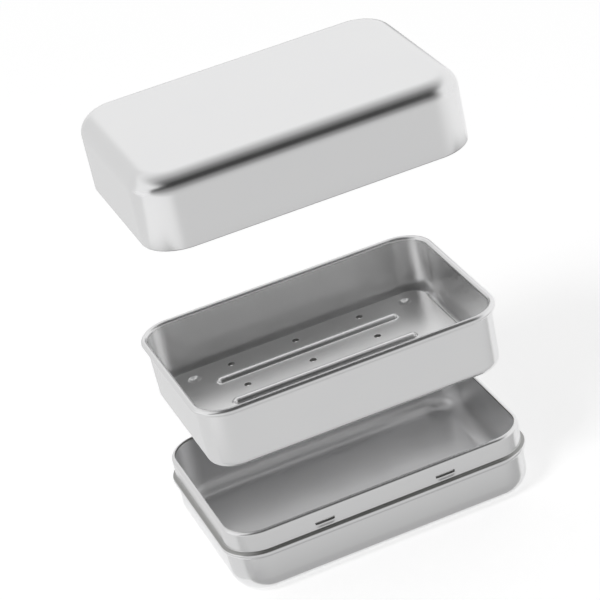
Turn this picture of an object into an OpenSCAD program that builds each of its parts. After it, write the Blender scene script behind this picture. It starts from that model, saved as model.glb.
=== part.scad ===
// Travel soap box of deep-drawn aluminium sheet: a base, a drain tray that hangs in it, and a lid.
// The pieces are shown lifted apart, one above the other. The base stands on z = 0, with the
// length along X, the width along Y and the origin under the middle of the base.
//
// Every wall is a cross-section swept round a rectangle with round corners. In a cross-section,
// x is the distance inward from the base's outer wall line, and y is the height.

/* [Sheet] */
// Thickness of the aluminium sheet
sheet = 0.8; // [0.6:0.1:0.9]

/* [Base] */
// Length of the base over its walls
base_l = 110; // [90:1:140]
// Width of the base over its walls
base_w = 75; // [60:1:100]
// Radius of the base's corners in plan
corner_r = 12.5; // [10:0.5:18]
// Height of the base
base_h = 25; // [23:0.5:32]
// Outer radius where the base's wall turns into its floor
base_edge_r = 6.5; // [3:0.5:8]
// Height of the neck: from the middle of the stop bead, which the lid comes down to, to the rim
neck_h = 8.7; // [8.4:0.1:12]
// How far the stop bead stands out of the wall
bead_proud = 1.3; // [1.2:0.05:1.5]
// Outer radius of the rim, where the sheet turns inward
rim_r = 1.1; // [0.9:0.05:1.2]
// Width of the rim's flat edge past that turn
rim_lip = 0.2; // [0.1:0.05:0.3]

/* [Grip nibs] */
// Length of a nib and of the slit above it
nib_l = 7; // [4:0.5:9]
// Distance between the two nibs on a long side
nib_spacing = 44.5; // [30:0.5:50]
// Depth of the slit's middle below the rim
nib_drop = 5; // [4.5:0.1:5.5]
// Height of the slit
slit_h = 0.9; // [0.5:0.1:1]
// Height of the pressed-out lip
nib_h = 1.3; // [1:0.1:1.5]
// How far the lip stands out of the neck
nib_proud = 0.3; // [0.2:0.05:0.35]

/* [Drain tray] */
// Height of the tray
tray_h = 23.5; // [18:0.1:24]
// Diameter of the rolled rim bead
roll_d = 2.4; // [2.4:0.05:2.8]
// How much the wall leans in over its height
tray_draft = 0.4; // [0.2:0.1:1]
// Outer radius where the wall turns into the foot ring
tray_edge_r = 2.8; // [2.2:0.1:3.4]
// Height of the raised floor above the underside of the foot ring
floor_rise = 3.9; // [3.6:0.1:5.5]
// Upper radius of the raised floor's shoulder
shoulder_r = 1; // [0.9:0.1:1.2]
// Inner radius of the bend that rises from the foot ring
ring_bend_r = 0.8; // [0.6:0.1:0.9]

/* [Drain floor] */
// Number of ribs that the soap lies on, with a row of holes on each side of every rib
rib_count = 3; // [2:1:3]
// Distance from the tray's short side to the end of a rib
rib_end_gap = 20; // [19:0.5:30]
// Width of a rib where it leaves the floor
rib_w = 4.8; // [4:0.1:6]
// Height of a rib
rib_h = 1.4; // [1:0.1:1.6]
// Distance from the tray's long side to the outer row of holes
row_side_gap = 11.7; // [10.5:0.1:15]
// Diameter of a drain hole
hole_d = 2.4; // [1.5:0.1:4]
// Number of drain holes in a row
hole_count = 3; // [2:1:3]
// Distance from the tray's short side to the last hole of a row, on average of the two sides
hole_end_gap = 30.5; // [26:0.5:36]
// How far the rows of holes lie to the left of the middle
hole_shift = 1.5; // [0:0.1:3]
// Diameter of a round dimple
dimple_d = 5.4; // [4:0.1:6]
// Depth of a dimple
dimple_depth = 0.9; // [0.6:0.1:1.2]
// Distance from the tray's short side to the middle of a dimple
dimple_end_gap = 14.7; // [11:0.1:15]
// Distance from the tray's long side to the middle of a dimple
dimple_side_gap = 12.8; // [11:0.1:17]

/* [Lid] */
// Height of the lid
lid_h = 25; // [20:0.5:32]
// Outer radius round the lid's top
lid_edge_r = 6.2; // [3:0.1:9]

/* [Fits] */
// Gap between the lid's inside and the base's neck, all round
lid_gap = 0.5; // [0.45:0.05:0.6]
// Gap left where one piece sits on another
seat_gap = 0.3; // [0.2:0.05:0.5]

/* [Shown apart] */
// How far the tray is lifted above its seat
tray_rise = 45; // [30:1:80]
// How far the lid is lifted above the tray, past the place where it closes the box
lid_rise = 70; // [45:1:90]

/* [Hidden] */

$fa = 3;
$fs = 0.2;
cut_over = 1; // how far a cutting shape runs past the face that it cuts
silver = [0.84, 0.84, 0.85];

// where each piece stands
tray_seat_z = base_h + seat_gap;
tray_top_z = tray_seat_z + roll_d + tray_rise;
bead_z = base_h - neck_h;
bead_top_at_lid = sqrt(bead_proud * bead_proud - lid_gap * lid_gap);
lid_seat_z = bead_z + bead_top_at_lid + seat_gap;
lid_rest_z = lid_seat_z + tray_rise + lid_rise;
lid_out = lid_gap + sheet;

// the tray's cross-section
tray_wall_x = roll_d - sheet;
ring_x = tray_wall_x + tray_draft + tray_edge_r;
ring_out_r = ring_bend_r + sheet;
riser_x = ring_x + ring_bend_r;
floor_x = riser_x + shoulder_r;
floor_y = floor_rise - tray_h; // the raised floor's top, below the top of the rim

// Part of a bend in the sheet: a quarter of a ring about a centre, to the given side of it
module bend(centre, outer, side) {
    translate(centre)
        intersection() {
            difference() {
                circle(r = outer);
                circle(r = outer - sheet);
            }
            mirror([side.x < 0 ? 1 : 0, 0])
                mirror([0, side.y < 0 ? 1 : 0])
                    square(outer + cut_over);
        }
}

// A straight stretch of sheet between two opposite corners of its section
module flat(from, to) {
    translate(from)
        square([to.x - from.x, to.y - from.y]);
}

// Sweeps the cross-section round the outline. Its flat part reaches the corners' centres,
// and a slab between them closes the middle.
module drawn_shell(slab_bottom) {
    reach_x = base_l / 2 - corner_r;
    reach_y = base_w / 2 - corner_r;
    for (flip_x = [0, 1], flip_y = [0, 1])
        mirror([flip_x, 0, 0])
            mirror([0, flip_y, 0])
                translate([reach_x, reach_y, 0])
                    rotate_extrude(angle = 90)
                        translate([corner_r, 0])
                            mirror([1, 0])
                                children();
    for (flip = [0, 1]) {
        mirror([0, flip, 0])
            straight_side(base_w / 2, reach_x)
                children();
        mirror([flip, 0, 0])
            rotate([0, 0, 90])
                straight_side(base_l / 2, reach_y)
                    children();
    }
    translate([-reach_x, -reach_y, slab_bottom])
        cube([2 * reach_x, 2 * reach_y, sheet]);
}

// The cross-section along one straight side, which lies at the given distance from the middle
module straight_side(distance, reach) {
    translate([reach, distance, 0])
        rotate([90, 0, -90])
            linear_extrude(2 * reach)
                children();
}

// A low round-topped form of the given width and height on z = 0, with round ends: a round bar
// that is sunk so deep that only the wanted height stands out. With inward it is the same form,
// that much smaller all round.
module bar_form(length, width, height, inward) {
    bar_r = (width * width / 4 + height * height) / (2 * height);
    half = (length - width) / 2;
    translate([0, 0, height - bar_r]) {
        if (half > 0)
            rotate([0, 90, 0])
                cylinder(r = bar_r - inward, h = 2 * half, center = true);
        for (end = [-half, half])
            translate([end, 0, 0])
                sphere(r = bar_r - inward);
    }
}

// What stands above the sheet where it is pressed up to a form
module pressed_skin(length, width, height) {
    intersection() {
        bar_form(length, width, height, 0);
        translate([-length, -width, -sheet / 2])
            cube([2 * length, 2 * width, 2 * width]);
    }
}

// The hollow that such a form has on the sheet's other side
module pressed_hollow(length, width, height) {
    intersection() {
        bar_form(length, width, height, sheet);
        translate([-length, -width, -sheet - cut_over])
            cube([2 * length, 2 * width, 2 * width]);
    }
}

// Turns what is pressed up from the sheet into the same form pressed down
module pressed_down() {
    translate([0, 0, -sheet])
        mirror([0, 0, 1])
            children();
}

// Cross-section of the base: floor, rounded edge, wall, stop bead, neck and turned-in rim. The
// bead is a fold of the wall that is pressed shut, so the wall's inside runs straight past it.
module base_section() {
    flat([base_edge_r, 0], [corner_r, sheet]);
    bend([base_edge_r, base_edge_r], base_edge_r, [-1, -1]);
    flat([0, base_edge_r], [sheet, base_h - rim_r]);
    translate([0, bead_z])
        intersection() {
            circle(r = bead_proud);
            translate([-2 * bead_proud, -2 * bead_proud])
                square([2 * bead_proud + sheet / 2, 4 * bead_proud]);
        }
    bend([rim_r, base_h - rim_r], rim_r, [-1, 1]);
    flat([rim_r, base_h - sheet], [rim_r + rim_lip, base_h]);
}

// One grip nib on the front of the neck: the lip below its slit
module nib_lip() {
    lip_r = (nib_h * nib_h / 4 + nib_proud * nib_proud) / (2 * nib_proud);
    lip_z = base_h - nib_drop - slit_h / 2 - nib_h / 2;
    intersection() {
        translate([0, -base_w / 2 - nib_proud + lip_r, lip_z])
            rotate([0, 90, 0])
                cylinder(r = lip_r, h = nib_l, center = true);
        translate([-nib_l, -base_w / 2 - 2 * nib_proud, lip_z - nib_h])
            cube([2 * nib_l, 2 * nib_proud + sheet / 2, 2 * nib_h]);
    }
}

module nib_slit() {
    translate([-nib_l / 2, -base_w / 2 - cut_over, base_h - nib_drop - slit_h / 2])
        cube([nib_l, sheet + 2 * cut_over, slit_h]);
}

// The four places of the nibs: two on each long side
module at_nibs() {
    for (turn = [0, 180])
        for (x = [-nib_spacing / 2, nib_spacing / 2])
            rotate([0, 0, turn])
                translate([x, 0, 0])
                    children();
}

module base() {
    color(silver) {
        difference() {
            drawn_shell(0)
                base_section();
            at_nibs()
                nib_slit();
        }
        at_nibs()
            nib_lip();
    }
}

// Cross-section of the tray, with its height counted down from the top of the rim: rolled rim,
// leaning wall, foot ring, shoulder and raised floor
module tray_section() {
    roll_r = roll_d / 2;
    turn_y = tray_edge_r - tray_h;
    translate([roll_r, -roll_r])
        circle(r = roll_r);
    polygon([[tray_wall_x, -roll_r], [tray_wall_x + tray_draft, turn_y],
             [roll_d + tray_draft, turn_y], [roll_d, -roll_r]]);
    bend([ring_x, turn_y], tray_edge_r, [-1, -1]);
    bend([ring_x, ring_out_r - tray_h], ring_out_r, [1, -1]);
    flat([riser_x, ring_out_r - tray_h], [riser_x + sheet, floor_y - shoulder_r]);
    bend([floor_x, floor_y - shoulder_r], shoulder_r, [-1, 1]);
    flat([floor_x, floor_y - sheet], [corner_r, floor_y]);
}

// The holes' rows are spread evenly across the floor, and a rib runs midway between two rows
module drain_holes() {
    row_step = (base_w - 2 * row_side_gap) / rib_count;
    hole_step = (base_l - 2 * hole_end_gap) / (hole_count - 1);
    for (row = [0 : rib_count], i = [0 : hole_count - 1])
        translate([hole_end_gap - base_l / 2 + i * hole_step - hole_shift,
                   row_side_gap - base_w / 2 + row * row_step, -sheet - cut_over])
            cylinder(d = hole_d, h = sheet + 2 * cut_over);
}

module at_ribs() {
    row_step = (base_w - 2 * row_side_gap) / rib_count;
    for (i = [0 : rib_count - 1])
        translate([0, row_side_gap - base_w / 2 + (i + 0.5) * row_step, 0])
            children();
}

module at_dimples() {
    x = base_l / 2 - dimple_end_gap;
    y = base_w / 2 - dimple_side_gap;
    for (side_x = [-x, x], side_y = [-y, y])
        translate([side_x, side_y, 0])
            children();
}

module drain_tray() {
    rib_l = base_l - 2 * rib_end_gap;
    color(silver)
        translate([0, 0, tray_top_z])
            difference() {
                union() {
                    drawn_shell(floor_y - sheet)
                        tray_section();
                    translate([0, 0, floor_y]) {
                        at_ribs()
                            pressed_skin(rib_l, rib_w, rib_h);
                        at_dimples()
                            pressed_down()
                                pressed_skin(dimple_d, dimple_d, dimple_depth);
                    }
                }
                translate([0, 0, floor_y]) {
                    at_ribs()
                        pressed_hollow(rib_l, rib_w, rib_h);
                    at_dimples()
                        pressed_down()
                            pressed_hollow(dimple_d, dimple_d, dimple_depth);
                    drain_holes();
                }
            }
}

// Cross-section of the lid: skirt, rounded top edge and top. The skirt stands outside the
// base's wall line, so its x is below zero.
module lid_section() {
    flat([-lid_out, 0], [-lid_gap, lid_h - lid_edge_r]);
    bend([lid_edge_r - lid_out, lid_h - lid_edge_r], lid_edge_r, [-1, 1]);
    flat([lid_edge_r - lid_out, lid_h - sheet], [corner_r, lid_h]);
}

module lid() {
    color(silver)
        translate([0, 0, lid_rest_z])
            drawn_shell(lid_h - sheet)
                lid_section();
}

base();
drain_tray();
lid();
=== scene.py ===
# %% [markdown]
# # A travel soap box of drawn aluminium
#
# The box is three pressed pieces: a base that you stand on the shelf, a drain tray that hangs in
# it by a rolled rim, and a lid that slides over the base's neck. They are shown lifted apart.
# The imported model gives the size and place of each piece, and what moves. Here every piece is
# modelled again as thin sheet metal with soft bends, because polished metal shows each bend as a
# line of light and dark, and a coarse mesh would spoil that line.

# %% Load the frame
import math

import bmesh
import bpy
from mathutils import Matrix, Vector


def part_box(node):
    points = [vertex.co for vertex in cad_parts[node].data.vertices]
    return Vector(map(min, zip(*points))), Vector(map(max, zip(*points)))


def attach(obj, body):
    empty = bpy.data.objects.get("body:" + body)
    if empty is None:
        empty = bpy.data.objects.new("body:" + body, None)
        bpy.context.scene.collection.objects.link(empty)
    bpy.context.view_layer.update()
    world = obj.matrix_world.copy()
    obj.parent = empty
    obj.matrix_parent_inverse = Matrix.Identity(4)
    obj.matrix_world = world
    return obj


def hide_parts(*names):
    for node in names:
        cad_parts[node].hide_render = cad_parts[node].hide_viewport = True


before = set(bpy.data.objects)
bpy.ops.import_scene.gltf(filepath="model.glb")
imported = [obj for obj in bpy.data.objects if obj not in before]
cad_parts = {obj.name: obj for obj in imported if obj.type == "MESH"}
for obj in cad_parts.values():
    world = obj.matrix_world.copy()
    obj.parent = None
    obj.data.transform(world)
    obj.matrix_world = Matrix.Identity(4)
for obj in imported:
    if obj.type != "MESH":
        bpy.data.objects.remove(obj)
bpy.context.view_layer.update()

MM = 0.001  # the scene is in metres, and sizes are easier to read in millimetres
print("pieces to model:", sorted(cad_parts))

# %% [markdown]
# ## Sizes
#
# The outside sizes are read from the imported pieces, so the looks can't drift from the
# construction. What the boxes can't tell, such as the bends' radii, is written here in
# millimetres. Each value is the real size of something on the metal.

# %% Sizes of the sheet and of each piece
SHEET = 0.8 * MM
base_low, base_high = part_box("base")
tray_low, tray_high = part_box("drain_tray")
lid_low, lid_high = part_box("lid")

TRAY_CORNER = 12.5 * MM  # the tray's rim and the base's wall turn the corner at this radius
reach_x = tray_high.x - TRAY_CORNER  # the corner's centre, which all three pieces share
reach_y = tray_high.y - TRAY_CORNER

BASE_EDGE_R = 6.5 * MM  # the wide round edge between the floor and the wall
BEAD_R = 1.3 * MM
BEAD_FOOT_R = 0.4 * MM  # the soft corner where the bead leaves the wall
NECK = 8.7 * MM  # from the bead's middle to the rim
RIM_R = 1.1 * MM  # the rim's turn inward
RIM_LIP = 0.2 * MM  # the short flat after that turn

ROLL_R = 1.2 * MM  # the rolled rim, measured outside
TRAY_DRAFT = 0.4 * MM  # how far the wall leans in on its way down
TRAY_EDGE_R = 2.8 * MM  # from the wall into the foot ring, measured outside
RING_BEND_R = 0.8 * MM  # from the foot ring up again
FLOOR_RISE = 3.9 * MM  # from the foot ring's underside to the top of the floor
SHOULDER_R = 1.0 * MM  # from there on to the raised floor

LID_EDGE_R = 6.2 * MM  # the soft edge round the top
print("corner centres, mm:", round(reach_x / MM, 2), round(reach_y / MM, 2))

# %% [markdown]
# ## A pen that draws cross-sections
#
# A press bends flat sheet round tools, so the outline of a wall, seen from its cut end, is
# nothing but straight stretches and round bends. You could model that outline by pushing
# vertices about, but it is easier to draw it as a toolmaker does. The pen below starts as one
# vertex. `ahead` extrudes it in a straight line, and `turn` spins it round the centre of a bend.
# Each straight stretch gets a short step at both ends. Smooth shading blends across a whole
# face, so without those steps a flat wall would look bent all the way to its middle.

# %% The pen
GUARD = 0.3 * MM  # the short step at each end of a straight stretch
BEND_STEP = 7.5  # degrees of a bend that one face covers
FEWEST_STEPS = 3  # faces in even the slightest bend


class Pen:
    """Draws a section in the plane y = reach_y. A heading of 0 is towards +X, and 90 is up."""

    def __init__(self, name, x, z, heading):
        bpy.ops.object.select_all(action="DESELECT")
        bpy.ops.mesh.primitive_plane_add(size=MM)
        self.piece = bpy.context.object
        self.piece.name = name
        self.piece.data.name = name
        self.heading = heading
        bpy.ops.object.mode_set(mode="EDIT")
        bpy.ops.mesh.select_mode(type="VERT")
        bpy.ops.mesh.select_all(action="SELECT")
        bpy.ops.mesh.merge(type="CENTER")
        bpy.ops.transform.translate(value=(x, reach_y, z))

    def tip(self):
        mesh = bmesh.from_edit_mesh(self.piece.data)
        return next(vertex.co.copy() for vertex in mesh.verts if vertex.select)

    def direction(self, extra=0):
        angle = math.radians(self.heading + extra)
        return Vector((math.cos(angle), 0, math.sin(angle)))

    def step(self, length):
        move = {"value": self.direction() * length}
        bpy.ops.mesh.extrude_region_move(TRANSFORM_OT_translate=move)

    def ahead(self, length):
        guard = min(GUARD, length / 3)
        for part in (guard, length - 2 * guard, guard):
            self.step(part)

    def turn(self, radius, degrees):
        """Bends left by so many degrees, or right where they are below zero."""
        left = math.copysign(1, degrees)
        centre = self.tip() + self.direction(90 * left) * radius
        bpy.ops.mesh.spin(
            steps=max(FEWEST_STEPS, round(abs(degrees) / BEND_STEP)),
            angle=math.radians(abs(degrees)),
            center=centre,
            axis=(0, left, 0),
        )
        self.heading += degrees


# %% [markdown]
# ## Picking parts of a mesh
#
# Edit-mode tools act on what is selected. By hand you would click an edge loop, and in a script
# you say where it lies. `pick` takes a question about a place and selects every vertex, edge or
# face for which the answer is yes at all its corners.

# %% Pick by place
NEAR = 0.01 * MM  # places closer than this count as the same


def near(value, goal):
    return abs(value - goal) < NEAR


def pick(piece, question, kind="EDGE"):
    bpy.ops.mesh.select_mode(type=kind)
    bpy.ops.mesh.select_all(action="DESELECT")
    mesh = bmesh.from_edit_mesh(piece.data)
    for part in {"VERT": mesh.verts, "EDGE": mesh.edges, "FACE": mesh.faces}[kind]:
        corners = [part] if kind == "VERT" else part.verts
        if all(question(corner.co) for corner in corners):
            part.select_set(True)
    mesh.select_flush_mode()
    bmesh.update_edit_mesh(piece.data)
    return sum(part.select for part in mesh.edges)


def extrude_by(x=0, y=0, z=0):
    bpy.ops.mesh.extrude_region_move(TRANSFORM_OT_translate={"value": (x, y, z)})


# %% [markdown]
# ## From a section to a quarter of a shell
#
# All three pieces share one plan: a rectangle with round corners. So one quarter of a shell is
# the section spun through a right angle at the corner, and then two straight stretches that run
# from the corner to the middle of each side. The stretches may stop on the way where something
# has to be pressed into them. A mirror makes the other three quarters, and the doubled vertices
# at the joins are merged, so that no seam shows in the reflections.

# %% Sweep a section round a quarter of the plan
CORNER_STEPS = 20  # faces round one corner of the plan
SEAM_MERGE = 0.002 * MM  # vertices closer than this become one


def sweep_quarter(piece, stops_x=()):
    """stops_x are places along the long side, from the corner to the middle, for extra columns."""
    bpy.ops.mesh.select_all(action="SELECT")
    bpy.ops.mesh.spin(
        steps=CORNER_STEPS, angle=math.pi / 2, center=(reach_x, reach_y, 0), axis=(0, 0, -1)
    )
    x = reach_x
    for stop in [reach_x - GUARD, *stops_x, 0]:
        extrude_by(x=stop - x)
        x = stop
    pick(piece, lambda p: near(p.y, reach_y) and p.x > reach_x - NEAR)
    extrude_by(y=-GUARD)
    extrude_by(y=GUARD - reach_y)


def close_middle(piece, z):
    """Fills the flat between the corner's centre and the middle of the piece."""
    pick(piece, lambda p: near(p.y, reach_y) and near(p.z, z) and p.x < reach_x + NEAR)
    extrude_by(y=-GUARD)
    extrude_by(y=GUARD - reach_y)


def mirror_quarters(piece):
    bpy.ops.mesh.select_all(action="SELECT")
    bpy.ops.mesh.remove_doubles(threshold=SEAM_MERGE)
    bpy.ops.object.mode_set(mode="OBJECT")
    mirror = piece.modifiers.new("other quarters", "MIRROR")
    mirror.use_axis = (True, True, False)
    mirror.merge_threshold = SEAM_MERGE
    bpy.ops.object.modifier_apply(modifier=mirror.name)


# %% [markdown]
# ## Thickness and edges
#
# Sheet has the same thickness everywhere, which is what the Solidify modifier gives. It grows to
# the back of the faces, so they must all point to the drawn side first. Then every edge that
# turns sharply, at a cut rim or a punched hole, gets a tiny bevel. No cut metal is razor sharp,
# and the bevel is what catches the thin bright line along a rim. Drawn faces and cut ones get
# different finishes, so Solidify puts the cut ones in a material slot of their own.

# %% Give the sheet its thickness
SHARP = math.radians(50)  # only a cut edge turns by more than this
BEVEL_STEPS = 3
FACE_SLOT, CUT_SLOT, INSIDE_SLOT, CREASE_SLOT = range(4)  # the order of a piece's finishes


def point_faces(piece, place, direction):
    """Turns all faces one way, so that the one nearest to place looks towards direction."""
    bpy.ops.object.mode_set(mode="EDIT")
    bpy.ops.mesh.select_all(action="SELECT")
    bpy.ops.mesh.normals_make_consistent(inside=False)
    mesh = bmesh.from_edit_mesh(piece.data)
    nearest = min(mesh.faces, key=lambda face: (face.calc_center_median() - place).length)
    if nearest.normal.dot(direction) < 0:
        bpy.ops.mesh.flip_normals()
    bpy.ops.object.mode_set(mode="OBJECT")


def thicken(piece, edge_bevel, before_bevel=None):
    """Makes the surface a sheet. before_bevel may reshape it while its edges are still sharp."""
    piece.data.materials.clear()
    for name in ("faces", "cut edges"):  # they hold the slots until the finishes are made
        piece.data.materials.append(bpy.data.materials.new(name))
    solid = piece.modifiers.new("sheet", "SOLIDIFY")
    solid.thickness = SHEET
    solid.offset = -1
    solid.use_even_offset = True
    solid.material_offset_rim = CUT_SLOT
    bpy.ops.object.modifier_apply(modifier=solid.name)
    bpy.ops.object.mode_set(mode="EDIT")
    if before_bevel:
        before_bevel(piece)
    bpy.ops.mesh.select_mode(type="EDGE")
    bpy.ops.mesh.select_all(action="DESELECT")
    bpy.ops.mesh.edges_select_sharp(sharpness=SHARP)
    bpy.ops.mesh.bevel(
        offset=edge_bevel, segments=BEVEL_STEPS, affect="EDGES", clamp_overlap=True
    )
    bpy.ops.object.mode_set(mode="OBJECT")
    bpy.ops.object.shade_smooth_by_angle(angle=SHARP)
    print(piece.name, "has", len(piece.data.polygons), "faces")


# %% [markdown]
# ## The lid
#
# The plainest piece: a cap drawn in one stroke of the press, with a straight skirt and a wide
# soft edge round its top. The section is drawn up the outside of the skirt, round the edge and
# in to the corner's centre. The rim was trimmed after drawing, so its cut edge is left square and
# only broken. The top stays bare.

# %% Lid
LID_RIM_BREAK = 0.18 * MM  # how much of the cut rim's corners is taken off

pen = Pen("lid_shell", lid_high.x, lid_low.z, 90)
lid = pen.piece
pen.ahead(lid_high.z - lid_low.z - LID_EDGE_R)
pen.turn(LID_EDGE_R, 90)
pen.ahead(lid_high.x - reach_x - LID_EDGE_R)
sweep_quarter(lid)
close_middle(lid, lid_high.z)
mirror_quarters(lid)
point_faces(lid, Vector((0, 0, lid_high.z)), Vector((0, 0, 1)))
thicken(lid, LID_RIM_BREAK)

# %% [markdown]
# ## The base
#
# The base stands on a flat floor with a wide round edge. Below the neck a bead runs all round,
# which stops the lid. It is a fold of the wall that is pressed shut, and its outside is round.
# Where the bead leaves the wall the metal turns through a small radius, which the section draws
# as a bend to the right, a long bend to the left and another to the right. The rim is turned in,
# so that no cut edge meets a finger.

# %% Section of the base
bead_z = base_high.z - NECK
wall_x, wall_y = tray_high.x, tray_high.y  # the base's wall stands under the tray's rim
# the bead's arc and its foot's arc touch where both have the same slope
bead_half = math.sqrt(BEAD_R * BEAD_R + 2 * BEAD_R * BEAD_FOOT_R)
bead_slope = math.degrees(math.atan2(BEAD_FOOT_R, bead_half))

pen = Pen("base_shell", reach_x, base_low.z, 0)
base = pen.piece
pen.ahead(wall_x - reach_x - BASE_EDGE_R)
pen.turn(BASE_EDGE_R, 90)
pen.ahead(bead_z - bead_half - pen.tip().z)
pen.turn(BEAD_FOOT_R, bead_slope - 90)
pen.turn(BEAD_R, 180 - 2 * bead_slope)
pen.turn(BEAD_FOOT_R, bead_slope - 90)
print("bead from", round((bead_z - bead_half) / MM, 2), "to", round((bead_z + bead_half) / MM, 2))

# %% [markdown]
# ## Grip nibs on the neck
#
# The lid would slip off a smooth neck. So the press cuts four short slits and pushes the metal
# under each one out a little: the lips rub on the inside of the lid. You could cut the slits with
# a Boolean, but a lanced nib is still one sheet with the wall, and that shows in how the light
# runs over it. So the wall gets rows and columns of faces where the nib goes, the faces in the
# slit are deleted, and the slit's lower edge is pulled out with proportional editing, which
# takes the metal below along, less and less.

# %% Rows, columns and the lanced nib
NIB_HALF = 3.5 * MM  # half of a slit's length
NIB_X = 22.25 * MM  # from the box's middle to the nib's middle
SLIT_TOP = 4.55 * MM  # below the rim
SLIT_BOTTOM = 5.45 * MM
NIB_COLUMN = 0.35 * MM  # width of one column of faces
NIB_ROWS = (1.5 * MM, 1.2 * MM, 0.9 * MM, 0.6 * MM, 0.3 * MM, 0)  # below the slit
NIB_PROUD = 0.3 * MM  # how far the lip stands out of the wall
NIB_PULL = 1.5 * MM  # how far round the slit's edge the metal moves along
NIB_SHY = 1.0 * MM  # the pulled stretch stays this far from the slit's ends

slit_z = base_high.z - SLIT_BOTTOM
for row in NIB_ROWS:
    pen.step(slit_z - row - pen.tip().z)
pen.step(SLIT_BOTTOM - SLIT_TOP)
pen.ahead(base_high.z - RIM_R - pen.tip().z)
pen.turn(RIM_R, 90)
pen.step(RIM_LIP)

column_count = round(2 * NIB_HALF / NIB_COLUMN)
nib_columns = [NIB_X + NIB_HALF - i * NIB_COLUMN for i in range(column_count + 1)]
before = [NIB_X + NIB_HALF + NIB_SHY, NIB_X + NIB_HALF + GUARD]
after = [NIB_X - NIB_HALF - GUARD, NIB_X - NIB_HALF - NIB_SHY]
sweep_quarter(base, [*before, *nib_columns, *after])
close_middle(base, base_low.z)
bpy.ops.mesh.select_all(action="SELECT")
bpy.ops.mesh.remove_doubles(threshold=SEAM_MERGE)


def beside_nib(point, half):
    return point.y > reach_y and abs(point.x - NIB_X) < half + NEAR


pick(
    base,
    lambda p: beside_nib(p, NIB_HALF)
    and slit_z - NEAR < p.z < slit_z + SLIT_BOTTOM - SLIT_TOP + NEAR,
    "FACE",
)
bpy.ops.mesh.delete(type="FACE")
picked = pick(base, lambda p: beside_nib(p, NIB_HALF - NIB_SHY) and near(p.z, slit_z))
bpy.ops.transform.translate(
    value=(0, NIB_PROUD, 0),
    use_proportional_edit=True,
    use_proportional_connected=True,
    proportional_edit_falloff="SMOOTH",
    proportional_size=NIB_PULL,
)
print("edges pulled out for a nib:", picked)

# %% [markdown]
# ## Collars inside the slits
#
# A punch that goes through thin sheet drags the metal along with it, so a low collar stands
# round the slit on the far side. The faces next to each slit, on the inside of the wall, are
# extruded inwards for it. Then all faces inside the slit are put with the cut edges, whose darker
# grey is partly painted shade for the inside of the slit.

# %% Slit collars
SLIT_COLLAR = 0.5 * MM
SLIT_DEPTH = 2.5 * SHEET  # past the collar's end, from the wall's outer face


def by_slit(point, reach):
    """True behind the wall's outer face and at most so far from a slit."""
    inside = wall_y - SLIT_DEPTH < abs(point.y) < wall_y - SHEET / 2
    beside = abs(abs(point.x) - NIB_X) < NIB_HALF + reach + NEAR
    level = slit_z - reach - NEAR < point.z < slit_z + SLIT_BOTTOM - SLIT_TOP + reach + NEAR
    return inside and beside and level


def draw_slit_collars(piece):
    for side in (-1, 1):
        pick(piece, lambda p: by_slit(p, GUARD) and p.y * side > 0, "FACE")
        extrude_by(y=-side * SLIT_COLLAR)
    # the faces inside the slit take the cut edges' darker grey, partly painted shade for the slit
    pick(piece, lambda p: by_slit(p, 0), "FACE")
    piece.active_material_index = CUT_SLOT
    bpy.ops.object.material_slot_assign()


# %% Four quarters of sheet
BASE_RIM_BREAK = 0.1 * MM

mirror_quarters(base)
point_faces(base, Vector((0, 0, base_low.z)), Vector((0, 0, -1)))
thicken(base, BASE_RIM_BREAK, draw_slit_collars)

# %% [markdown]
# ## Pressing the bead's fold shut
#
# Solidify follows the bead, so the inside of the wall now has a groove behind it. Where a fold
# is pressed shut its two layers touch, and the inside is smooth. So the faces of the groove,
# which look inwards at the bead's height, are deleted, and Bridge spans the gap with straight
# ones.

# %% Close the groove behind the bead
bpy.ops.object.mode_set(mode="EDIT")
bpy.ops.mesh.select_mode(type="FACE")
bpy.ops.mesh.select_all(action="DESELECT")
mesh = bmesh.from_edit_mesh(base.data)
for face in mesh.faces:
    middle = face.calc_center_median()
    if abs(middle.z - bead_z) < bead_half and face.normal.xy.dot(middle.xy) < 0:
        face.select_set(True)
print("faces of the groove:", sum(face.select for face in mesh.faces))
bmesh.update_edit_mesh(base.data)
bpy.ops.mesh.delete(type="FACE")
bpy.ops.mesh.select_mode(type="EDGE")
bpy.ops.mesh.select_non_manifold(extend=False)
bpy.ops.mesh.bridge_edge_loops()
bpy.ops.mesh.select_all(action="SELECT")
bpy.ops.mesh.delete_loose()
bpy.ops.object.mode_set(mode="OBJECT")

# %% [markdown]
# ## The drain tray's walls
#
# The tray hangs by a rim that is rolled outwards nearly all the way round, so its section starts
# inside the roll, under the rim. It is drawn along the inside of the tray: round the roll, down
# the wall, which leans in a little so the tray comes off its tool, round the foot ring, up again
# and over the shoulder on to the raised floor. It stops there, because the floor gets its own
# forms. This section follows the inside, so the thickness grows outwards.

# %% Section of the tray's walls
ROLL_START = 255  # degrees round the roll, from +X, where the sheet's edge lies
FLOOR_BORDER = 0.4 * MM  # flat strip past the shoulder, before the open floor

floor_z = tray_low.z + FLOOR_RISE
roll_centre = Vector((tray_high.x - ROLL_R, 0, tray_high.z - ROLL_R))
roll_angle = math.radians(ROLL_START)
drop = tray_high.z - tray_low.z - ROLL_R - TRAY_EDGE_R
lean = math.degrees(math.atan2(TRAY_DRAFT, drop))
edge_r = TRAY_EDGE_R - SHEET  # the same bend, measured inside
edge_z = tray_low.z + TRAY_EDGE_R - edge_r * math.sin(math.radians(lean))

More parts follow.
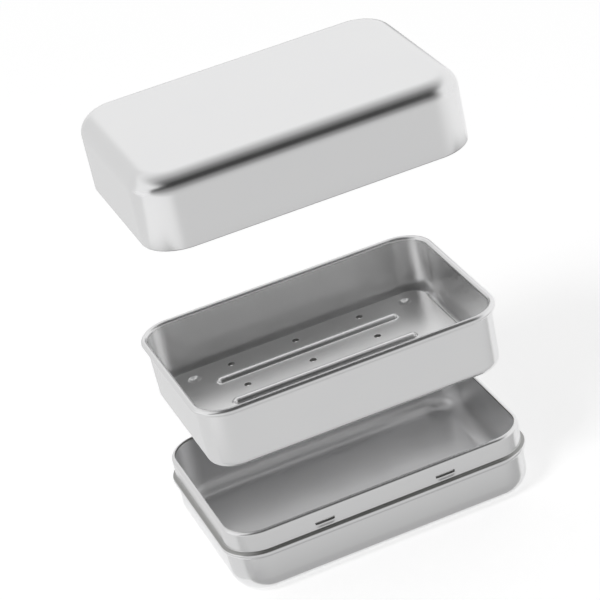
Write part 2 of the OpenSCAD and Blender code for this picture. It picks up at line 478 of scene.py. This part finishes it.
pen = Pen(
    "drain_tray_shell",
    roll_centre.x + ROLL_R * math.cos(roll_angle),
    roll_centre.z + ROLL_R * math.sin(roll_angle),
    ROLL_START + 90 - 360,
)
tray = pen.piece
pen.turn(ROLL_R, 540 - ROLL_START - lean)  # until it heads down the leaning wall
pen.ahead((pen.tip().z - edge_z) / math.cos(math.radians(lean)))
pen.turn(edge_r, lean - 90)
pen.turn(RING_BEND_R, -90)
pen.ahead(floor_z - SHOULDER_R - pen.tip().z)
pen.turn(SHOULDER_R, 90)
pen.step(FLOOR_BORDER)
floor_edge = pen.tip()
print("open floor starts", round((tray_high.x - floor_edge.x) / MM, 2), "mm from the rim")
sweep_quarter(tray)
mirror_quarters(tray)

# %% [markdown]
# ## Ribs, dimples and holes in the tray's floor
#
# Three long ribs keep the soap out of the water, twelve holes let it drip, and four round dimples
# near the corners are pressed the other way, perhaps as little feet. Each form is drawn as a
# small section and spun about an upright axis. A dimple is a full turn. A rib is a half turn at
# its end, then a straight stretch to the middle and a mirror. A strip of flat metal round each
# form keeps the bends' shading out of the floor.

# %% Forms to press into the floor
RIB_CROWN_R = 2.2 * MM
RIB_FOOT_R = 0.5 * MM  # the bend where a rib leaves the floor
RIB_H = 1.4 * MM
RIB_END_X = 32.6 * MM  # the centre of a rib's round end
DIMPLE_LIP_R = 0.9 * MM  # the bend where the floor turns down into a dimple
DIMPLE_HALF = 2.7 * MM  # half of a dimple's width
DIMPLE_DEPTH = 0.9 * MM
ROUND_STEPS = 32  # faces round a full or half turn


def floor_pen(name, x):
    """A pen on the floor's plane that heads for the axis at the corner's centre."""
    pen = Pen(name, reach_x + x, floor_z, 180)
    pen.step(GUARD)
    return pen


def spin_upright(angle):
    """Spins the drawn section about the upright line through the corner's centre."""
    bpy.ops.mesh.select_all(action="SELECT")
    bpy.ops.mesh.spin(
        steps=ROUND_STEPS, angle=angle, center=(reach_x, reach_y, 0), axis=(0, 0, -1)
    )


def to_origin(piece, x=0):
    """Moves the drawn form so that its axis stands at x on the box's middle line."""
    bpy.ops.mesh.select_all(action="SELECT")
    bpy.ops.mesh.remove_doubles(threshold=SEAM_MERGE)
    bpy.ops.transform.translate(value=(x - reach_x, -reach_y, 0))


# %% Rib
# the crown's arc and the foot's arc touch where both have the same slope
crown_drop = RIB_CROWN_R - RIB_H
foot_x = math.sqrt((RIB_CROWN_R + RIB_FOOT_R) ** 2 - (RIB_FOOT_R + crown_drop) ** 2)
rib_slope = math.degrees(math.atan2(foot_x, RIB_FOOT_R + crown_drop))

pen = floor_pen("rib", foot_x + GUARD)
rib = pen.piece
pen.turn(RIB_FOOT_R, -rib_slope)
pen.turn(RIB_CROWN_R, rib_slope)
bpy.ops.mesh.select_all(action="SELECT")
bpy.ops.transform.rotate(
    value=math.pi / 2, orient_axis="Z", center_override=(reach_x, reach_y, floor_z)
)
spin_upright(math.pi)
to_origin(rib, RIB_END_X)
picked = pick(rib, lambda p: near(p.x, RIB_END_X))
extrude_by(x=-RIB_END_X)
bpy.ops.object.mode_set(mode="OBJECT")
mirror = rib.modifiers.new("other half", "MIRROR")
mirror.merge_threshold = SEAM_MERGE
bpy.ops.object.modifier_apply(modifier=mirror.name)
print("rib is", [round(side / MM, 2) for side in rib.dimensions], "mm,", picked, "edges drawn out")

# %% Dimple
# the cup's radius follows from its width, its depth and the lip's radius
lip_over = DIMPLE_LIP_R - DIMPLE_DEPTH
cup_r = (DIMPLE_HALF**2 + lip_over**2 - DIMPLE_LIP_R**2) / (2 * DIMPLE_DEPTH)
cup_slope = math.degrees(math.atan2(DIMPLE_HALF, cup_r - DIMPLE_DEPTH + DIMPLE_LIP_R))

pen = floor_pen("dimple", DIMPLE_HALF + GUARD)
dimple = pen.piece
pen.turn(DIMPLE_LIP_R, cup_slope)
pen.turn(cup_r, -cup_slope)
spin_upright(2 * math.pi)
to_origin(dimple)
bpy.ops.object.mode_set(mode="OBJECT")
print("dimple is", [round(side / MM, 2) for side in dimple.dimensions], "mm")

# %% [markdown]
# ## The floor round its forms
#
# The forms are copied to their places, each copy with its own mesh, and joined to the walls. Then
# all the open edges that lie in the floor's plane are selected and filled at once. Fill treats a
# loop inside another loop as a hole, so the flat metal is made in one go, with room for every
# form. The rings round the drain holes were left open inside, and that is where the holes are.

# %% Ring round a drain hole
HOLE_R = 1.2 * MM

bpy.ops.object.select_all(action="DESELECT")
bpy.ops.mesh.primitive_circle_add(vertices=ROUND_STEPS, radius=HOLE_R + GUARD)
ring = bpy.context.object
bpy.ops.object.mode_set(mode="EDIT")
bpy.ops.mesh.select_all(action="SELECT")
bpy.ops.mesh.extrude_region_move()
shrink = HOLE_R / (HOLE_R + GUARD)
bpy.ops.transform.resize(value=(shrink, shrink, 1))
bpy.ops.mesh.select_all(action="SELECT")
bpy.ops.transform.translate(value=(0, 0, floor_z))
bpy.ops.object.mode_set(mode="OBJECT")
print("ring is", round(ring.dimensions.x / MM, 2), "mm wide")

# %% Place the forms
RIB_YS = (-17.2 * MM, 0, 17.2 * MM)
DIMPLE_X = 40.3 * MM
DIMPLE_Y = 24.7 * MM
HOLE_XS = (-26 * MM, -1.5 * MM, 23 * MM)
HOLE_YS = (-25.8 * MM, -8.6 * MM, 8.6 * MM, 25.8 * MM)

holes = [Vector((x, y)) for x in HOLE_XS for y in HOLE_YS]


def copy_to(piece, x, y):
    made = piece.copy()
    made.data = piece.data.copy()
    made.data.transform(Matrix.Translation((x, y, 0)))
    bpy.context.collection.objects.link(made)
    return made


forms = [copy_to(rib, 0, y) for y in RIB_YS]
forms += [copy_to(dimple, x, y) for x in (-DIMPLE_X, DIMPLE_X) for y in (-DIMPLE_Y, DIMPLE_Y)]
forms += [copy_to(ring, *hole) for hole in holes]
for copied in (rib, dimple, ring):
    bpy.data.objects.remove(copied)

bpy.ops.object.select_all(action="DESELECT")
for form in forms:
    form.select_set(True)
tray.select_set(True)
bpy.context.view_layer.objects.active = tray
bpy.ops.object.join()
print("forms joined to the tray:", len(forms))

# %% Fill the floor
ON_EDGE = GUARD / 2  # half a ring's width more than a hole's radius picks the hole's own edge


def at_hole(point, reach):
    return any((point.xy - hole).length < reach for hole in holes)


bpy.ops.object.mode_set(mode="EDIT")
bpy.ops.mesh.select_mode(type="EDGE")
bpy.ops.mesh.select_all(action="DESELECT")
mesh = bmesh.from_edit_mesh(tray.data)
for edge in mesh.edges:
    flat = all(near(corner.co.z, floor_z) for corner in edge.verts)
    if edge.is_boundary and flat and not at_hole(edge.verts[0].co, HOLE_R + ON_EDGE):
        edge.select_set(True)
print("edges round the open floor:", sum(edge.select for edge in mesh.edges))
bmesh.update_edit_mesh(tray.data)
bpy.ops.mesh.fill(use_beauty=True)
bpy.ops.mesh.select_all(action="SELECT")
bpy.ops.mesh.remove_doubles(threshold=SEAM_MERGE)
bpy.ops.object.mode_set(mode="OBJECT")

# %% [markdown]
# ## Thickness and collars of the tray
#
# The drain holes are punched from above, so each has its low collar underneath, like the slits
# in the base have theirs inside. The ring of faces round a hole is extruded down for it.

# %% Finish the tray
TRAY_EDGE_BREAK = 0.1 * MM
COLLAR = 0.45 * MM  # how far the punch draws the metal down round a hole
ON_RING = 1.5 * GUARD  # half a ring's width more than its outer radius picks the ring's faces


def draw_collars(piece):
    pick(piece, lambda p: near(p.z, floor_z - SHEET) and at_hole(p, HOLE_R + ON_RING), "FACE")
    extrude_by(z=-COLLAR)
    # a hole's walls take the cut edges' darker grey, partly painted shade for the hole
    pick(piece, lambda p: at_hole(p, HOLE_R + ON_EDGE), "FACE")
    piece.active_material_index = CUT_SLOT
    bpy.ops.object.material_slot_assign()


point_faces(tray, Vector((0, RIB_YS[2] / 2, floor_z)), Vector((0, 0, 1)))
thicken(tray, TRAY_EDGE_BREAK, draw_collars)

# %% [markdown]
# ## Small helpers for materials
#
# A colour is picked as the eye sees it, in sRGB, and Blender counts light, so one function turns
# the one into the other. Another adds a node, with its settings and what goes into it.

# %% Colours and nodes
def colour(hex_text):
    """Linear colour of an sRGB hex value."""
    parts = [int(hex_text[i : i + 2], 16) / 255 for i in (0, 2, 4)]
    return tuple(p / 12.92 if p <= 0.04045 else ((p + 0.055) / 1.055) ** 2.4 for p in parts) + (1,)


def add_node(tree, kind, inputs=None, **settings):
    made = tree.nodes.new(kind)
    for name, value in settings.items():
        setattr(made, name, value)
    for socket, value in (inputs or {}).items():
        if isinstance(value, bpy.types.NodeSocket):
            tree.links.new(value, made.inputs[socket])
        else:
            made.inputs[socket].default_value = value
    return made


def new_material(name):
    material = bpy.data.materials.new(name)
    material.use_nodes = True
    material.node_tree.nodes.clear()
    return material


# %% [markdown]
# ## Satin deep-drawn aluminium
#
# The pieces are pressed from polished aluminium sheet and left bare. Aluminium is a bright,
# nearly neutral metal. Drawing stretches the grain, which dulls the mirror to a satin: you see
# soft shapes in it, and hard edges only where they are close. So the metal is a low-roughness
# one whose roughness and shade drift a little from place to place. The finest grain is far too
# small to see at this distance. It is drawn at 0.3 mm, as coarse as it needs to be to break up
# the highlights.

# %% Bare metal with a drifting shine
GRAIN = 0.3 * MM
GRAIN_DEPTH = 0.02 * MM
GRAIN_STRENGTH = 0.02
GRAIN_DETAIL = 2.0
DRIFT = 18 * MM  # size of the patches that are a little duller or brighter
DRIFT_DETAIL = 3.0
NOISE_LOW, NOISE_HIGH = 0.3, 0.7  # nearly all that a noise texture gives lies between these


def satin_aluminium(name, shades, roughness):
    """shades and roughness are pairs, and the metal drifts between the two values of each."""
    material = new_material(name)
    tree = material.node_tree
    place = add_node(tree, "ShaderNodeTexCoord").outputs["Object"]
    drift = add_node(
        tree,
        "ShaderNodeTexNoise",
        {"Vector": place, "Scale": 1 / DRIFT, "Detail": DRIFT_DETAIL},
    ).outputs["Fac"]
    dullness = add_node(
        tree,
        "ShaderNodeMapRange",
        {
            "Value": drift,
            "From Min": NOISE_LOW,
            "From Max": NOISE_HIGH,
            "To Min": roughness[0],
            "To Max": roughness[1],
        },
    )
    tint = add_node(
        tree,
        "ShaderNodeMix",
        {"Factor": drift, "A": colour(shades[0]), "B": colour(shades[1])},
        data_type="RGBA",
    )
    grain = add_node(
        tree,
        "ShaderNodeTexNoise",
        {"Vector": place, "Scale": 1 / GRAIN, "Detail": GRAIN_DETAIL},
    )
    bump = add_node(
        tree,
        "ShaderNodeBump",
        {
            "Height": grain.outputs["Fac"],
            "Strength": GRAIN_STRENGTH,
            "Distance": GRAIN_DEPTH,
        },
    )
    metal = add_node(
        tree,
        "ShaderNodeBsdfPrincipled",
        {
            "Base Color": tint.outputs["Result"],
            "Metallic": 1.0,
            "Roughness": dullness.outputs["Result"],
            "Normal": bump.outputs["Normal"],
        },
    )
    add_node(tree, "ShaderNodeOutputMaterial", {"Surface": metal.outputs["BSDF"]})
    return material


# %% [markdown]
# ## Five finishes of one metal
#
# All of it is the same bare aluminium. It differs in how each place was worked, and in some
# places light or shade is painted into its colour:
#
# - The drawn faces are satin, and they show the room in soft shapes.
# - A sheared edge is torn and rougher. Its darker grey is partly real and partly painted shade,
#   which darkens the insides of the slits and holes. It gives the thin grey line round each hole,
#   slit and cut rim.
# - The base's inside is duller than its outside, so the walls melt into each other there. It
#   could be made with a texture that follows height, but a material of its own is easier to set.
# - The tray's inside lies between the two in roughness. Its lighter shade is painted light, which
#   lifts the shade inside the tray.
# - Along the top of the bead, a darker metal is painted shade for the crease below the neck. It
#   gives the dark line that sets the neck off from the body.

# %% The five finishes
satin = satin_aluminium(
    "satin_deep_drawn_aluminium", shades=("E3E3E4", "E7E7E7"), roughness=(0.23, 0.27)
)
# torn metal is rougher, and its darker grey is partly painted shade for slits and holes
sheared_edge_and_painted_shade = satin_aluminium(
    "sheared_aluminium_edge_and_painted_shade", shades=("8A8A88", "929290"), roughness=(0.52, 0.58)
)
inside_of_base = satin_aluminium(
    "duller_inside_of_the_base", shades=("E3E3E4", "E7E7E7"), roughness=(0.34, 0.38)
)
# the tray's inside has a lighter shade than the rest, which is painted light for its shaded inside
inside_of_tray_painted_lighter = satin_aluminium(
    "duller_inside_of_the_tray_with_painted_light", shades=("EEEEEE", "F2F2F2"), roughness=(0.28, 0.32)
)
# a darker metal that paints the shade in the crease along the top of the bead
painted_crease_shade = satin_aluminium(
    "aluminium_with_painted_crease_shade", shades=("9C9C9A", "A8A8A7"), roughness=(0.37, 0.43)
)
for piece in (lid, base, tray):
    piece.data.materials[FACE_SLOT] = satin
    piece.data.materials[CUT_SLOT] = sheared_edge_and_painted_shade
    print(piece.name, "is", [material.name for material in piece.data.materials])

# %% [markdown]
# ## Which faces look inside
#
# You could click the faces of an inside one by one, but the script can ask each face where it is
# and which way it looks. It belongs to the inside if it lies below the rim and looks towards the
# open middle.


# %% Duller insides
def dull_inside(piece, open_height, finish):
    """Gives the finish to what lies below open_height and looks into the piece."""
    piece.data.materials.append(finish)
    count = 0
    for face in piece.data.polygons:
        place = face.center
        # towards a spot at the opening's height, halfway from the face to the middle
        inward = Vector((-place.x / 2, -place.y / 2, open_height - place.z))
        below = place.z < open_height
        if face.material_index == FACE_SLOT and below and face.normal.dot(inward) > 0:
            face.material_index = INSIDE_SLOT
            count += 1
    print(piece.name, "has", count, "duller faces inside")


dull_inside(base, base_high.z - 2 * RIM_R, inside_of_base)
dull_inside(tray, tray_high.z - 2 * ROLL_R, inside_of_tray_painted_lighter)

# %% [markdown]
# ## Which faces get the painted shade of the crease
#
# They are picked the same way: on the outside of the base, in the upper half of the bead, and
# looking up rather than forwards.

# %% Painted shade along the bead's crease
CREASE_TILT = 0.55  # how far a face must look up to belong to the crease
CREASE_SLACK = 0.1 * NEAR  # so that the bead's topmost faces count too


# the finish given here is a darker metal that paints the shade in the crease above the bead
def paint_crease_shade(piece, finish):
    piece.data.materials.append(finish)
    count = 0
    for face in piece.data.polygons:
        above = 0 < face.center.z - bead_z < bead_half + CREASE_SLACK
        outside = face.normal.xy.dot(face.center.xy) > 0
        if above and outside and face.normal.z > CREASE_TILT:
            face.material_index = CREASE_SLOT
            count += 1
    print(piece.name, "has", count, "tarnished faces along the bead")


paint_crease_shade(base, painted_crease_shade)

# %% [markdown]
# ## Joining the pieces to what moves
#
# Each modelled piece takes the place of its imported solid and rides on that solid's body.

# %% Ride and replace
for piece, node, body in (
    (base, "base", "base"),
    (tray, "drain_tray", "tray"),
    (lid, "lid", "lid"),
):
    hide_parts(node)
    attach(piece, body)
    print(piece.name, "stands for", node, "and rides on", body)

# %% [markdown]
# ## White floor
#
# Bare metal has next to no look of its own: it shows the room. So the room is built as a
# photographer would build it, white all round. A lamp can't light a floor evenly to its far end.
# So the floor glows a little, and more so where the lamp doesn't reach: then no horizon shows.
# Only the camera and reflections see the glow.

# %% Floor
FLOOR_SIZE = 12
FLOOR_DROP = 0.02 * MM  # below the base, so that the two never share a plane
FLOOR_SHADE = "EEEEEE"
FLOOR_SEEN = 0.47  # what the camera and reflections see on top of the floor's own light
FAR_FLOOR_SEEN = 0.57  # the same far away, out of the lamp's reach
LAMP_REACH = (0.5, 2.5)  # metres from the box over which the one gives way to the other


def seen_directly(tree):
    """1 for what the camera, a mirror or glass sees, and 0 for light on its way to a surface."""
    rays = add_node(tree, "ShaderNodeLightPath").outputs
    total = rays["Is Camera Ray"]
    for name in ("Is Glossy Ray", "Is Transmission Ray"):
        larger = add_node(tree, "ShaderNodeMath", {0: total, 1: rays[name]}, operation="MAXIMUM")
        total = larger.outputs[0]
    return total


def floor_material():
    material = new_material("matt_white_floor")
    tree = material.node_tree
    paint = add_node(tree, "ShaderNodeBsdfDiffuse", {"Color": colour(FLOOR_SHADE)})
    place = add_node(tree, "ShaderNodeTexCoord").outputs["Object"]
    from_box = add_node(tree, "ShaderNodeVectorMath", {0: place}, operation="LENGTH")
    strength = add_node(
        tree,
        "ShaderNodeMapRange",
        {
            "Value": from_box.outputs["Value"],
            "From Min": LAMP_REACH[0],
            "From Max": LAMP_REACH[1],
            "To Min": FLOOR_SEEN,
            "To Max": FAR_FLOOR_SEEN,
        },
    )
    lift = add_node(
        tree,
        "ShaderNodeMath",
        {0: seen_directly(tree), 1: strength.outputs["Result"]},
        operation="MULTIPLY",
    )
    glow = add_node(tree, "ShaderNodeEmission", {"Strength": lift.outputs[0]})
    both = add_node(tree, "ShaderNodeAddShader", {0: paint.outputs[0], 1: glow.outputs[0]})
    add_node(tree, "ShaderNodeOutputMaterial", {"Surface": both.outputs[0]})
    return material


bpy.ops.object.select_all(action="DESELECT")
bpy.ops.mesh.primitive_plane_add(size=FLOOR_SIZE, location=(0, 0, -FLOOR_DROP))
floor = bpy.context.object
floor.name = "floor"
floor.data.materials.append(floor_material())
print("floor is", FLOOR_SIZE, "m wide")

# %% [markdown]
# ## White world
#
# The world is plain white where you see it, straight or in the metal. It lights the rest at half
# of that, which leaves the lamp enough to do for soft shadows.

# %% World
WORLD_SEEN = 1.0
WORLD_LIGHT = 0.5

world = bpy.data.worlds.new("white_studio")
bpy.context.scene.world = world
world.use_nodes = True
world.node_tree.nodes.clear()
world_strength = add_node(
    world.node_tree,
    "ShaderNodeMapRange",
    {"Value": seen_directly(world.node_tree), "To Min": WORLD_LIGHT, "To Max": WORLD_SEEN},
)
sky = add_node(
    world.node_tree,
    "ShaderNodeBackground",
    {"Color": colour("FFFFFF"), "Strength": world_strength.outputs["Result"]},
)
add_node(world.node_tree, "ShaderNodeOutputWorld", {"Surface": sky.outputs["Background"]})
print("world:", world.name)

# %% [markdown]
# ## Grey cards
#
# In a room that is white all round, bare metal turns white too. A photographer sets grey cards
# out of the picture, for the metal to mirror. These seven are seen by reflections only. The
# shade of each changes along its depth or its height, and it fades to white at both sides, so
# that no card draws a hard line. What each does to the picture was found by leaving it out:
#
# - The front floor card sets the light grey of the three front faces. Its end next to the box is
#   darker, a painted shadow that makes the base's front darker towards the bottom.
# - The front wall card makes the insides grey. Its dark top is the lower half of the dark line
#   along the lid's front edge.
# - The overhead card is dark at its front end, which is the upper half of that line. It also
#   draws the fine dark lines on the front rims and on the ribs.
# - The back wall card and the tray rim card are small. They draw thin lines round the rims.
# - The left floor card and the left back wall card keep the left faces, and the lid's soft edge
#   above them, a touch below white.

# %% A grey that changes along an axis
def graded(tree, place, axis, stops):
    """stops are places in metres, each with a grey given as one pair of hex digits."""
    first, last = stops[0][0], stops[-1][0]
    parts = add_node(tree, "ShaderNodeSeparateXYZ", {0: place})
    along = add_node(
        tree,
        "ShaderNodeMapRange",
        {"Value": parts.outputs[axis], "From Min": first, "From Max": last},
    )
    ramp = add_node(tree, "ShaderNodeValToRGB", {"Fac": along.outputs["Result"]})
    ramp.color_ramp.interpolation = "EASE"
    points = ramp.color_ramp.elements  # a new ramp has one at each end
    for where, _ in stops[1:-1]:
        points.new((where - first) / (last - first))
    for point, (_, grey) in zip(points, stops):
        point.color = colour(grey * 3)
    return ramp.outputs["Color"]


# %% Cards that only reflections see
CARD_LIFT = 0.5 * MM  # how far a card on the floor lies above it


def card(name, centre, size, upright, stops, side_stops):
    """A card, in metres. It changes along Z where it is upright, and along Y where it lies flat.

    side_stops are four places along X: the card fades in from white, holds and fades out."""
    bpy.ops.object.select_all(action="DESELECT")
    bpy.ops.mesh.primitive_plane_add(size=1)
    made = bpy.context.object
    made.name = name
    turn = Matrix.Rotation(math.radians(90 if upright else 0), 4, "X")
    made.data.transform(Matrix.Translation(centre) @ turn @ Matrix.Diagonal((*size, 1, 1)))
    material = new_material(name)
    tree = material.node_tree
    place = add_node(tree, "ShaderNodeTexCoord").outputs["Object"]
    shade = graded(tree, place, "Z" if upright else "Y", stops)
    sides = graded(tree, place, "X", list(zip(side_stops, ("FF", "00", "00", "FF"))))
    mixed = add_node(
        tree,
        "ShaderNodeMix",
        {"Factor": sides, "A": shade, "B": colour("FFFFFF")},
        data_type="RGBA",
    )
    glow = add_node(tree, "ShaderNodeEmission", {"Color": mixed.outputs["Result"]})
    add_node(tree, "ShaderNodeOutputMaterial", {"Surface": glow.outputs[0]})
    made.data.materials.append(material)
    made.visible_camera = False
    made.visible_diffuse = False
    made.visible_transmission = False
    made.visible_shadow = False
    print(name, "stands" if upright else "lies flat")


# %% Cards in front of the box
card(
    "front_floor_card",
    centre=(0, -0.243, CARD_LIFT),
    size=(2.4, 0.414),
    upright=False,
    # the last two stops, next to the box, are a painted shadow that darkens the base's foot
    stops=((-0.45, "DE"), (-0.1, "DE"), (-0.06, "D4"), (-0.036, "B8")),
    side_stops=(-0.2, -0.09, 0.15, 0.4),
)
card(
    "front_wall_card",
    centre=(-0.3, -0.45, 0.275),
    size=(2.4, 0.55),
    upright=True,
    stops=(
        (0, "DC"),
        (0.1, "D4"),
        (0.14, "C8"),
        (0.18, "B0"),
        (0.22, "9C"),
        (0.28, "90"),
        (0.335, "80"),
        (0.375, "3C"),
        (0.55, "30"),
    ),
    side_stops=(-1.5, -1.0, 0.25, 0.7),
)

# %% Small cards at the rims
card(
    "back_wall_card",
    centre=(0.08, 0.2, 0.12),
    size=(0.28, 0.08),
    upright=True,
    stops=((0.082, "FF"), (0.1, "74"), (0.133, "74"), (0.158, "FF")),
    side_stops=(-0.05, 0.01, 0.13, 0.2),
)
card(
    "tray_rim_card",
    centre=(0, -0.034, 0.125),
    size=(0.3, 0.028),
    upright=False,
    stops=((-0.048, "30"), (-0.02, "30")),
    side_stops=(-0.08, -0.05, 0.05, 0.08),
)

# %% Cards to the left
card(
    "left_back_wall_card",
    centre=(-0.5, 0.5, 0.3),
    size=(1.2, 0.6),
    upright=True,
    stops=((0, "EA"), (0.6, "EA")),
    side_stops=(-1.1, -1.09, -0.15, 0.05),
)
card(
    "left_floor_card",
    centre=(-0.33, 0.22, CARD_LIFT),
    size=(0.54, 0.56),
    upright=False,
    stops=((-0.06, "E9"), (0.5, "E9")),
    side_stops=(-0.6, -0.59, 0.2, 0.3),
)

# %% Card overhead
card(
    "overhead_card",
    centre=(0, 0, 0.55),
    size=(2.4, 0.9),
    upright=False,
    stops=((-0.45, "30"), (-0.37, "44"), (-0.2, "80"), (0, "C4"), (0.2, "EC"), (0.45, "FF")),
    side_stops=(-0.6, -0.2, 0.25, 0.7),
)

# %% [markdown]
# ## One soft lamp
#
# A large lamp high up on the left casts the soft shadow to the right. Reflections don't show it,
# because the metal would draw it as a bright square.

# %% Lamp
KEY_PLACE = Vector((-0.9, -0.5, 1.6))
KEY_AIM = Vector((0, 0, 0.08))  # the middle of the three pieces
KEY_SIZE = 0.5
KEY_POWER = 7  # watts

key_light = bpy.data.lights.new("key", "AREA")
key_light.size = KEY_SIZE
key_light.energy = KEY_POWER
key = bpy.data.objects.new("key", key_light)
bpy.context.collection.objects.link(key)
key.location = KEY_PLACE
key.rotation_euler = (KEY_AIM - KEY_PLACE).to_track_quat("-Z", "Y").to_euler()
key.visible_glossy = False
print("lamp:", key.name, KEY_POWER, "W")

# %% [markdown]
# ## Camera
#
# A long lens from the front and the left, a little above the box. The angles and the distance
# come from fitting the outlines of the three pieces in the picture. There each piece is tipped by
# another angle, so one camera can only take the middle of the three.

# %% Camera
CAMERA_AZIMUTH = 15  # to the left of straight in front, degrees
CAMERA_ELEVATION = 27.5
CAMERA_ROLL = 13
CAMERA_DISTANCE = 843 * MM
CAMERA_AIM = Vector((-3.3, 0.9, 81)) * MM
LENS = 150  # mm
SENSOR = 36  # mm wide

azimuth, elevation = math.radians(CAMERA_AZIMUTH), math.radians(CAMERA_ELEVATION)
away = Vector(
    (
        -math.sin(azimuth) * math.cos(elevation),
        -math.cos(azimuth) * math.cos(elevation),
        math.sin(elevation),
    )
)
camera_data = bpy.data.cameras.new("camera")
camera_data.lens = LENS
camera_data.sensor_width = SENSOR
camera = bpy.data.objects.new("camera", camera_data)
bpy.context.collection.objects.link(camera)
level = (-away).to_track_quat("-Z", "Y").to_matrix().to_4x4()
roll = Matrix.Rotation(math.radians(-CAMERA_ROLL), 4, "Z")
camera.matrix_world = Matrix.Translation(CAMERA_AIM + away * CAMERA_DISTANCE) @ level @ roll
bpy.context.scene.camera = camera
bpy.context.scene.view_settings.view_transform = "Standard"
print("camera at, mm:", [round(c / MM) for c in camera.location])
